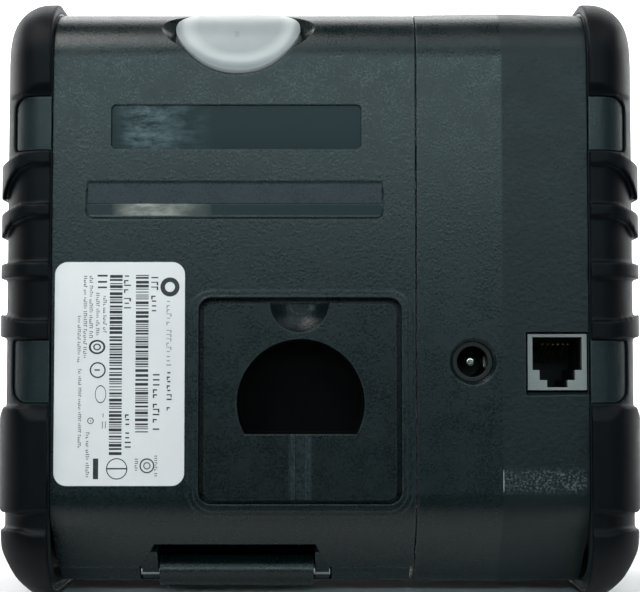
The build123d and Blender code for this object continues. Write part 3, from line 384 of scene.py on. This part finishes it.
def button_material():
    """Grey plastic with a painted highlight ring inside a rim darkened by painted shade."""
    m = Material("release_button_plastic")
    x, _, z = m.axes()
    across = m.calc("DIVIDE", m.add(x, -BUTTON_X), BUTTON_HALF_WIDTH)
    up = m.calc("DIVIDE", m.calc("SUBTRACT", z, BUTTON_Z), BUTTON_HALF_HEIGHT)
    wobble = m.remap(m.noise(scale=70, detail=3.0, rough=0.6), to=(-0.03, 0.03))
    radius = m.add(m.length(across, up), wobble)
    # painted highlight: a pale ring on the button face
    ring = m.multiply(m.rise(radius, span=(0.66, 0.80)), m.fall(radius, span=(0.86, 0.93)))
    color = m.ramp(m.noise(scale=60, detail=4.0, rough=0.6),
                   low=rgb(0.31, 0.325, 0.33), high=rgb(0.37, 0.385, 0.39))
    color = m.tint(color, ring, amount=0.55, over=rgb(0.56, 0.57, 0.56))
    # painted shade round the button's rim
    color = m.tint(color, m.rise(radius, span=(0.90, 1.0)), amount=0.75,
                   over=rgb(0.17, 0.185, 0.19))
    gate_x = m.calc("ABSOLUTE", m.calc("SUBTRACT", x, GATE_X))
    gate_z = m.calc("ABSOLUTE", m.calc("SUBTRACT", z, GATE_Z))
    gate = m.multiply(m.fall(gate_x, span=(0.00025, 0.0006)),
                      m.fall(gate_z, span=(0.0004, 0.0009)))
    color = m.tint(color, gate, amount=0.35, over=rgb(0.18, 0.19, 0.195))
    return m.finish(
        color=color, rough=m.remap(m.noise(scale=240, detail=5.0, rough=0.7), to=(0.27, 0.40)),
        normal=m.bump(m.noise(scale=2500, detail=3.0, rough=0.6),
                      strength=0.12, depth=0.00005, bevel=0.0003))


def board_material():
    m = Material("circuit_board")
    cells = m.voronoi(scale=500, feature="DISTANCE_TO_EDGE", stretch=(1, 1, 2.2))
    traces = m.fall(cells, span=(0.02, 0.10))
    color = m.tint(rgb(0.006, 0.05, 0.022), traces, amount=0.7, over=rgb(0.02, 0.12, 0.05))
    rough = m.remap(m.noise(scale=300, detail=3.0, rough=0.6), to=(0.25, 0.4))
    return m.finish(color=color, rough=rough, coat=0.3,
                    normal=m.bump(traces, strength=0.3, depth=0.00004))


def lens_material():
    m = Material("led_lens")
    color = m.ramp(m.noise(scale=600, detail=3.0, rough=0.6),
                   low=rgb(0.03, 0.22, 0.08), high=rgb(0.05, 0.34, 0.12))
    rough = m.remap(m.noise(scale=400, detail=3.0, rough=0.6), to=(0.08, 0.2))
    return m.finish(color=color, rough=rough, trans=0.35, coat=0.4)


def label_material():
    m = Material("label_paper")
    fibres = m.noise(scale=1500, detail=4.0, rough=0.7)
    color = m.ramp(m.noise(scale=40, detail=3.0, rough=0.6),
                   low=rgb(0.62, 0.61, 0.62), high=rgb(0.70, 0.69, 0.69))
    color = m.tint(color, m.edge(radius=0.0004, span=(0.002, 0.2)), amount=0.35,
                   over=rgb(0.45, 0.45, 0.47))
    return m.finish(color=color, rough=m.remap(fibres, to=(0.32, 0.46)), spec=0.45,
                    normal=m.bump(fibres, strength=0.10, depth=0.00003))


def ink_material(name, base):
    m = Material(name)
    grit = m.noise(scale=2200, detail=3.0, rough=0.7)
    color = m.ramp(grit, span=(0.35, 0.8), low=shade(base, gain=1.0),
                   high=shade(base, gain=1.4, lift=0.035))
    return m.finish(color=color, rough=m.remap(grit, to=(0.42, 0.6)))


# ------------------------------------------------------ materials on the pieces
casing = casing_material("casing_plastic")
# each material, and the pieces made of it
LOOKS = [
    (casing, "paper_door battery_cover"),
    (casing_material("rear_shell_plastic", details=shell_details), "rear_shell"),
    (casing_material("port_casing_plastic", details=port_details),
     "port_housing_rear port_housing_front"),
    (casing_material("clip_plate_plastic", base=(0.0014, 0.0060, 0.0074), grain_gain=1.15,
                     shine=0.42, details=clip_details), "clip_plate"),
    (casing_material("end_cap_plastic", base=(0.0036, 0.0110, 0.0130), grain_gain=0.8,
                     rough=(0.33, 0.43), shine=0.38), "end_cap_left end_cap_right"),
    (rubber_material("bumper_rubber", base=(0.0010, 0.0020, 0.0033)),
     "bumper_left bumper_right"),
    (smooth_plastic("socket_cup_plastic", base=(0.0012, 0.0014, 0.0015), rough=0.72,
                    bump=0.2, spec=0.10), "clip_socket_cup"),
    (smooth_plastic("black_plastic", base=(0.003, 0.0034, 0.0036), rough=0.5, bump=0.25),
     "paper_tub latch_yoke latch_bracket paper_sensor dc_inlet platen_bushes"),
    (jack_material(), "modular_jack"),
    (button_material(), "release_button"),
    (smooth_plastic("key_rubber", base=(0.16, 0.175, 0.19), rough=0.5, bump=0.2),
     "feed_key power_key"),
    (smooth_plastic("bezel_film", base=(0.018, 0.022, 0.026), rough=0.22, bump=0.08,
                    coat=0.3), "keypad_bezel"),
    (smooth_plastic("gear_plastic", base=(0.62, 0.60, 0.52), rough=0.35, bump=0.1),
     "platen_gear idler_gear motor_pinion"),
    (smooth_plastic("battery_plastic", base=(0.02, 0.021, 0.023), rough=0.4, bump=0.2),
     "battery_pack"),
    (smooth_plastic("component_plastic", base=(0.012, 0.012, 0.014), rough=0.35, bump=0.2),
     "board_components"),
    (smooth_plastic("flat_cable", base=(0.62, 0.60, 0.52), rough=0.3, bump=0.1),
     "head_cable"),
    (rubber_material("platen_rubber", base=(0.03, 0.03, 0.033)), "platen_rubber"),
    (metal_material("brushed_steel", base=(0.55, 0.56, 0.58), rough=0.32),
     "mechanism_frame hinge_pin platen_shaft idler_axle motor_shaft stepper_motor "
     "casing_screws tear_bar"),
    (metal_material("spring_steel", base=(0.62, 0.62, 0.64), rough=0.2, brushed=(30, 1, 1)),
     "head_springs latch_springs"),
    (metal_material("aluminium", base=(0.66, 0.67, 0.69), rough=0.34), "head_heatsink"),
    (metal_material("contact_metal", base=(0.80, 0.62, 0.30), rough=0.22),
     "jack_contacts battery_contacts"),
    (metal_material("inlet_pin", base=(0.74, 0.72, 0.66), rough=0.2),
     "dc_inlet_pin dc_inlet_spring"),
    (smooth_plastic("ceramic_strip", base=(0.62, 0.60, 0.54), rough=0.18, bump=0.05,
                    coat=0.5), "print_head"),
    (board_material(), "main_board keypad_board radio_module antenna"),
    (lens_material(), "led_lenses"),
    (label_material(), "rear_label"),
]
dark_ink = ink_material("label_ink", base=(0.012, 0.012, 0.014))
grey_ink = ink_material("label_ink_grey", base=(0.20, 0.20, 0.21))

material_of = {piece: material for material, pieces in LOOKS for piece in pieces.split()}
for name, piece in PIECES.items():
    material = material_of.get(name, casing).data
    for slot in piece.material_slots:
        slot.material = material
    if not piece.material_slots:
        piece.data.materials.append(material)


# --------------------------------------------------------------------- staging
def link(obj):
    bpy.context.scene.collection.objects.link(obj)
    return obj


def mesh_object(name, bm, material):
    mesh = bpy.data.meshes.new(name)
    bm.to_mesh(mesh)
    bm.free()
    mesh.materials.append(material.data)
    return link(bpy.data.objects.new(name, mesh))


def lower_with_door(obj):
    """The open door reaches below the base, so the paper drops out of its way."""
    lowering = obj.constraints.new("TRANSFORM")
    lowering.target = frame["bodies"]["door"]
    lowering.map_from = "ROTATION"
    lowering.from_min_x_rot = math.radians(-55)
    lowering.from_max_x_rot = 0.0
    lowering.map_to = "LOCATION"
    lowering.map_to_z_from = "X"
    lowering.to_min_z = -0.058
    lowering.to_max_z = 0.0


SWEEP_FRONT_Y, SWEEP_BACK_Y = -3.5, 0.62
SWEEP_TOP_Z = 1.2
SWEEP_BEND = 0.25           # radius between floor and wall
SWEEP_BEND_STEPS = 16
SWEEP_DROP = 0.0002         # keeps the paper just under the base
SWEEP_XS = (-3.5, -1.6, -0.8, 0.0, 0.8, 1.6, 3.5)


def sweep_material():
    m = Material("studio_paper")
    mottle = m.noise(scale=6, detail=3.0)
    x, y, _ = m.axes()
    glow = m.calc("MAXIMUM", m.remap(y, to=(0.0, 0.85), span=(0.05, 0.34)),
                  m.rise(m.length(x, y), span=(0.28, 0.75)))
    return m.finish(
        color=m.ramp(mottle, low=rgb(0.86, 0.86, 0.86), high=rgb(0.90, 0.90, 0.90)),
        rough=m.remap(mottle, to=(0.85, 0.95)), spec=0.2,
        emit=rgb(1.0, 1.0, 1.0), emit_strength=glow)


def stage_sweep():
    """White paper floor that bends up into a wall behind the printer."""
    bend_y = SWEEP_BACK_Y - SWEEP_BEND
    profile = [(SWEEP_FRONT_Y, 0.0), (bend_y, 0.0)]
    for i in range(1, SWEEP_BEND_STEPS + 1):
        angle = math.radians(90 * i / SWEEP_BEND_STEPS)
        profile.append((bend_y + SWEEP_BEND * math.sin(angle),
                        SWEEP_BEND - SWEEP_BEND * math.cos(angle)))
    profile.append((SWEEP_BACK_Y, SWEEP_TOP_Z))
    bm = bmesh.new()
    rows = [[bm.verts.new((x, y, z - SWEEP_DROP)) for y, z in profile] for x in SWEEP_XS]
    for row, following in zip(rows, rows[1:]):
        for i in range(len(profile) - 1):
            bm.faces.new((row[i], following[i], following[i + 1], row[i + 1]))
    sweep = mesh_object("studio_sweep", bm, sweep_material())
    for face in sweep.data.polygons:
        face.use_smooth = True
    lower_with_door(sweep)


FLAG_REACH = 3.4            # out to the sides and towards the camera
FLAG_BACK_Y = -0.034
FLAG_Z = 0.0006


def flag_material():
    m = Material("flag_black")
    color = m.ramp(m.noise(scale=9, detail=3.0),
                   low=rgb(0.030, 0.036, 0.038), high=rgb(0.045, 0.052, 0.055))
    return m.finish(color=color, rough=0.9, spec=0.0,
                    alpha=m.fall(m.axes()[1], span=(-0.062, -0.036)))


def stage_flag():
    """Black card on the paper in front of the printer, seen only in reflections."""
    bm = bmesh.new()
    corners = ((-FLAG_REACH, -FLAG_REACH), (FLAG_REACH, -FLAG_REACH),
               (FLAG_REACH, FLAG_BACK_Y), (-FLAG_REACH, FLAG_BACK_Y))
    bm.faces.new([bm.verts.new((x, y, FLAG_Z)) for x, y in corners])
    flag = mesh_object("flag_card", bm, flag_material())
    flag.visible_camera = False
    flag.visible_diffuse = False
    flag.visible_shadow = False
    flag.visible_transmission = False
    lower_with_door(flag)


stage_sweep()
stage_flag()

# ---------------------------------------------------------------------- lights
COOL = (0.71, 0.96, 1.01)
WARM = (1.0, 0.99, 0.97)
WHITE = (1.0, 1.0, 1.0)
# stacked strips behind the camera, then softboxes overhead and to the sides:
# name, place, target, (width, height), watts, colour
LIGHTS = [
    ("strip_low", (-0.10, -1.20, 0.28), (-0.10, 0, 0.28), (1.6, 0.12), 1.05, COOL),
    ("strip_mid", (-0.10, -1.20, 0.42), (-0.10, 0, 0.42), (1.6, 0.16), 3.9, COOL),
    ("strip_high", (-0.10, -1.00, 0.95), (-0.10, 0, 0.10), (1.6, 0.40), 2.2, COOL),
    ("overhead_left", (-0.28, -0.34, 0.62), (-0.05, -0.01, 0.06), (0.50, 0.34), 2.3, WARM),
    ("overhead_right", (0.32, -0.34, 0.62), (0.05, -0.01, 0.06), (0.50, 0.34), 0.75, WHITE),
    ("overhead_back", (0.0, 0.30, 0.70), (0.0, 0.0, 0.08), (1.0, 0.35), 2.6, WHITE),
    ("far_left", (-0.95, 0.30, 0.42), (0, 0, 0.06), (0.7, 0.5), 4.5, WHITE),
    ("far_right", (0.95, 0.30, 0.42), (0, 0, 0.06), (0.7, 0.5), 4.5, WHITE),
]


def area_light(name, place, target, size, watts, color):
    lamp = bpy.data.lights.new(name, "AREA")
    lamp.shape = "RECTANGLE"
    lamp.size, lamp.size_y = size
    lamp.energy = watts
    lamp.color = color
    lamp.spread = math.pi
    light = link(bpy.data.objects.new(name, lamp))
    light.location = place
    light.visible_camera = False
    aim = Vector(target) - Vector(place)
    light.rotation_euler = aim.to_track_quat("-Z", "Y").to_euler()


for row in LIGHTS:
    area_light(*row)


def build_world():
    """White to the camera, a faint fill to everything else."""
    world = bpy.data.worlds.new("studio")
    bpy.context.scene.world = world
    world.use_nodes = True
    nodes, links = world.node_tree.nodes, world.node_tree.links
    nodes.clear()
    output = nodes.new("ShaderNodeOutputWorld")
    mixer = nodes.new("ShaderNodeMixShader")
    path = nodes.new("ShaderNodeLightPath")
    links.new(path.outputs["Is Camera Ray"], mixer.inputs[0])
    # mixer input, colour, strength
    backgrounds = ((1, (0.95, 1.0, 1.0, 1), 0.02), (2, (1, 1, 1, 1), 1.0))
    for socket, color, strength in backgrounds:
        background = nodes.new("ShaderNodeBackground")
        background.inputs[0].default_value = color
        background.inputs[1].default_value = strength
        links.new(background.outputs[0], mixer.inputs[socket])
    links.new(mixer.outputs[0], output.inputs[0])


build_world()
bpy.context.scene.view_settings.view_transform = "Standard"
bpy.context.scene.view_settings.look = "None"

# ---------------------------------------------------------------------- camera
CAMERA_AIM = Vector((0.0, -0.031, 0.061))
CAMERA_DISTANCE = 0.300
CAMERA_TILT = math.radians(3.0)
VIEW_WIDTH = 0.128          # width seen at the aim point
SENSOR_WIDTH = 36.0


def build_camera():
    """Square on to the port face, a little below its middle and looking up."""
    lens = bpy.data.cameras.new("camera")
    camera = link(bpy.data.objects.new("camera", lens))
    lens.sensor_fit = "HORIZONTAL"
    lens.sensor_width = SENSOR_WIDTH
    lens.lens = SENSOR_WIDTH * CAMERA_DISTANCE / VIEW_WIDTH
    lens.clip_start = 0.01
    towards = Vector((0, math.cos(CAMERA_TILT), math.sin(CAMERA_TILT)))
    camera.location = CAMERA_AIM - towards * CAMERA_DISTANCE
    camera.rotation_euler = (math.pi / 2 + CAMERA_TILT, 0, 0)
    bpy.context.scene.camera = camera


build_camera()

# --------------------------------------------------------------- printed label
# Everything in this section is in millimetres until the vertices are made.
LABEL_Y = -31.16
PRINT_FRONT_Y = LABEL_Y - 0.022
PRINT_BACK_Y = LABEL_Y + 0.04
RING_SEGMENTS = 28
BAR_SHIFT = 0.024           # largest sideways wander of a striped bar
CLOSE = 1e-6                # a stroke starting this near a line's end is left out

# columns of bars: left, right, top, bottom, unit
STRIPES = [
    (-42.0, -39.48, 65.2, 29.1, 0.204),
    (-36.8, -34.24, 65.2, 33.8, 0.196),
]
# lines of strokes running down the label: centre x, top, bottom, width across,
# pitch, ink as a share of the pitch
DARK_LINES = [
    (-48.08, 57.0, 47.8, 0.6, 0.38, 0.34), (-47.88, 46.4, 30.6, 0.6, 0.38, 0.34),
    (-46.88, 65.0, 48.4, 0.68, 0.4, 0.34), (-45.72, 65.0, 52.6, 0.68, 0.4, 0.34),
    (-44.4, 61.6, 52.8, 0.68, 0.4, 0.34), (-42.96, 61.0, 53.6, 0.68, 0.4, 0.34),
    (-46.24, 33.8, 25.0, 0.72, 0.44, 0.34),
    # larger headings beside the bars
    (-38.48, 65.1, 57.6, 1.4, 0.92, 0.26), (-33.04, 64.8, 58.0, 1.4, 0.96, 0.26),
    (-38.24, 37.4, 29.6, 1.2, 0.92, 0.30), (-32.64, 45.4, 34.0, 1.32, 1.0, 0.28),
    (-30.04, 45.8, 38.4, 1.0, 0.88, 0.32),
]
FOOT_LINES = [
    (-36.52, 28.6, 25.8, 0.6, 0.44, 0.34), (-32.64, 29.2, 25.0, 0.56, 0.44, 0.34),
]
GREY_LINES = [
    (-30.16, 60.0, 49.8, 1.0, 0.84, 0.22), (-30.16, 49.0, 46.6, 1.0, 0.84, 0.26),
]
# plain shapes; ring: centre x, centre z, radius, band, stretch along x
#               bar: left, top, right, bottom
DARK_MARKS = [
    ("ring", -30.0, 62.8, 1.92, 0.92, 1.0), ("ring", -44.32, 46.2, 1.6, 0.28, 1.0),
    ("bar", -44.96, 46.36, -43.88, 46.08), ("bar", -44.48, 65.24, -42.48, 64.88),
    ("bar", -44.4, 64.0, -42.6, 63.64), ("bar", -44.4, 62.88, -42.6, 62.56),
    ("ring", -44.48, 50.8, 1.44, 0.36, 1.15), ("ring", -44.48, 50.8, 0.68, 0.24, 1.15),
    ("ring", -43.72, 41.4, 1.8, 0.2, 0.62), ("ring", -45.68, 36.12, 0.64, 0.16, 1.0),
    ("bar", -45.78, 36.22, -45.58, 36.02), ("bar", -45.12, 28.64, -44.08, 24.56),
    ("ring", -40.4, 26.6, 2.12, 0.2, 1.0), ("bar", -42.4, 26.76, -38.4, 26.48),
    ("ring", -34.4, 27.2, 1.48, 0.26, 1.0), ("ring", -34.4, 27.2, 0.72, 0.2, 1.0),
]
GREY_MARKS = [
    ("bar", -43.28, 37.6, -43.08, 36.8), ("bar", -42.8, 36.0, -42.6, 34.6),
    ("bar", -43.4, 36.0, -43.2, 34.6),
]

rng = np.random.default_rng(7)


class Print:
    """Thin closed shapes lying on the label, gathered in one mesh."""

    def __init__(self):
        self.bm = bmesh.new()

    def vertex(self, x, y, z):
        return self.bm.verts.new((x * MM, y * MM, z * MM))

    def bar(self, left, top, right, bottom):
        corners = ((left, bottom), (right, bottom), (right, top), (left, top))
        front = [self.vertex(x, PRINT_FRONT_Y, z) for x, z in corners]
        back = [self.vertex(x, PRINT_BACK_Y, z) for x, z in corners]
        self.bm.faces.new(front)
        self.bm.faces.new(back[::-1])
        for i in range(4):
            j = (i + 1) % 4
            self.bm.faces.new((front[j], front[i], back[i], back[j]))

    def ring(self, x, z, radius, band, stretch):
        # each station: outer front, inner front, outer back, inner back
        stations = []
        for i in range(RING_SEGMENTS):
            angle = 2 * math.pi * i / RING_SEGMENTS
            stations.append([
                self.vertex(x + r * stretch * math.cos(angle), y, z - r * math.sin(angle))
                for y in (PRINT_FRONT_Y, PRINT_BACK_Y) for r in (radius, radius - band)])
        for here, there in zip(stations, stations[1:] + stations[:1]):
            outer, inner, outer_back, inner_back = here
            outer2, inner2, outer_back2, inner_back2 = there
            self.bm.faces.new((outer, inner, inner2, outer2))
            self.bm.faces.new((outer_back2, inner_back2, inner_back, outer_back))
            self.bm.faces.new((outer2, outer_back2, outer_back, outer))
            self.bm.faces.new((inner, inner_back, inner_back2, inner2))

    def marks(self, table):
        for shape, *sizes in table:
            draw = self.ring if shape == "ring" else self.bar
            draw(*sizes)

    def stripes(self, left, right, top, bottom, unit):
        """A column of bars one to three units deep, one or two units apart."""
        z = top
        while z > bottom + unit:
            depth = min(unit * rng.choice([1.0, 1.0, 2.0, 3.0]), z - bottom)
            shift = rng.uniform(-BAR_SHIFT, BAR_SHIFT)
            self.bar(left + shift, z, right + shift, z - depth * 0.94)
            z -= depth + unit * rng.choice([1.0, 1.0, 2.0])

    def strokes(self, x, top, bottom, width, pitch, ink):
        """A line of meaningless strokes, grouped like words."""
        left, right = x - width / 2, x + width / 2
        thick = pitch * ink
        z = top
        word = int(rng.integers(3, 8))
        while z > bottom + CLOSE:
            if word == 0:
                word = int(rng.integers(3, 9))
                z -= pitch * 0.9
                continue
            kind = int(rng.integers(0, 4))
            if kind == 0:
                self.bar(left, z, right, z - thick)
            elif kind == 1:
                self.bar(left, z, left + width * 0.62, z - thick)
                self.bar(left, z - thick * 1.02, left + width * 0.2, z - pitch * 0.78)
            elif kind == 2:
                self.bar(left, z, right, z - thick * 0.8)
                self.bar(right - width * 0.22, z - thick * 0.82, right, z - pitch * 0.74)
            else:
                self.bar(left + width * 0.1, z, left + width * 0.72, z - thick)
            z -= pitch
            word -= 1

    def lines(self, table):
        for row in table:
            self.strokes(*row)

    def finish(self, name, ink):
        bmesh.ops.recalc_face_normals(self.bm, faces=self.bm.faces)
        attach(mesh_object(name, self.bm, ink), "base")


def label_print():
    dark = Print()
    for row in STRIPES:
        dark.stripes(*row)
    dark.lines(DARK_LINES)
    dark.marks(DARK_MARKS)
    dark.lines(FOOT_LINES)
    dark.finish("label_print_dark", dark_ink)
    grey = Print()
    grey.lines(GREY_LINES)
    grey.marks(GREY_MARKS)
    grey.finish("label_print_grey", grey_ink)


label_print()

# --------------------------------------------------------- soft moulded rubber
RUBBER_VOXEL, QUICK_VOXEL = 0.00030, 0.0007


def soften(piece):
    """Round the corners where ribs, pads and windows meet."""
    remesh = piece.modifiers.new("soft_remesh", "REMESH")
    remesh.mode = "VOXEL"
    remesh.voxel_size = RUBBER_VOXEL
    remesh.use_smooth_shade = True
    smooth = piece.modifiers.new("soft_round", "SMOOTH")
    smooth.factor = 0.5
    smooth.iterations = 4


for name in ("bumper_left", "bumper_right"):
    soften(PIECES[name])


# ----------------------------------------------- springs under the latch yoke
def latch_coils():
    """A copy of the latch springs, fixed to the base, in place of the hidden original."""
    springs = PIECES["latch_springs"]
    coils = springs.copy()
    coils.data = springs.data.copy()
    coils.name = "latch_springs_coils"
    link(coils)
    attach(coils, "base")
    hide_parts("latch_springs")
    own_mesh(coils)


latch_coils()
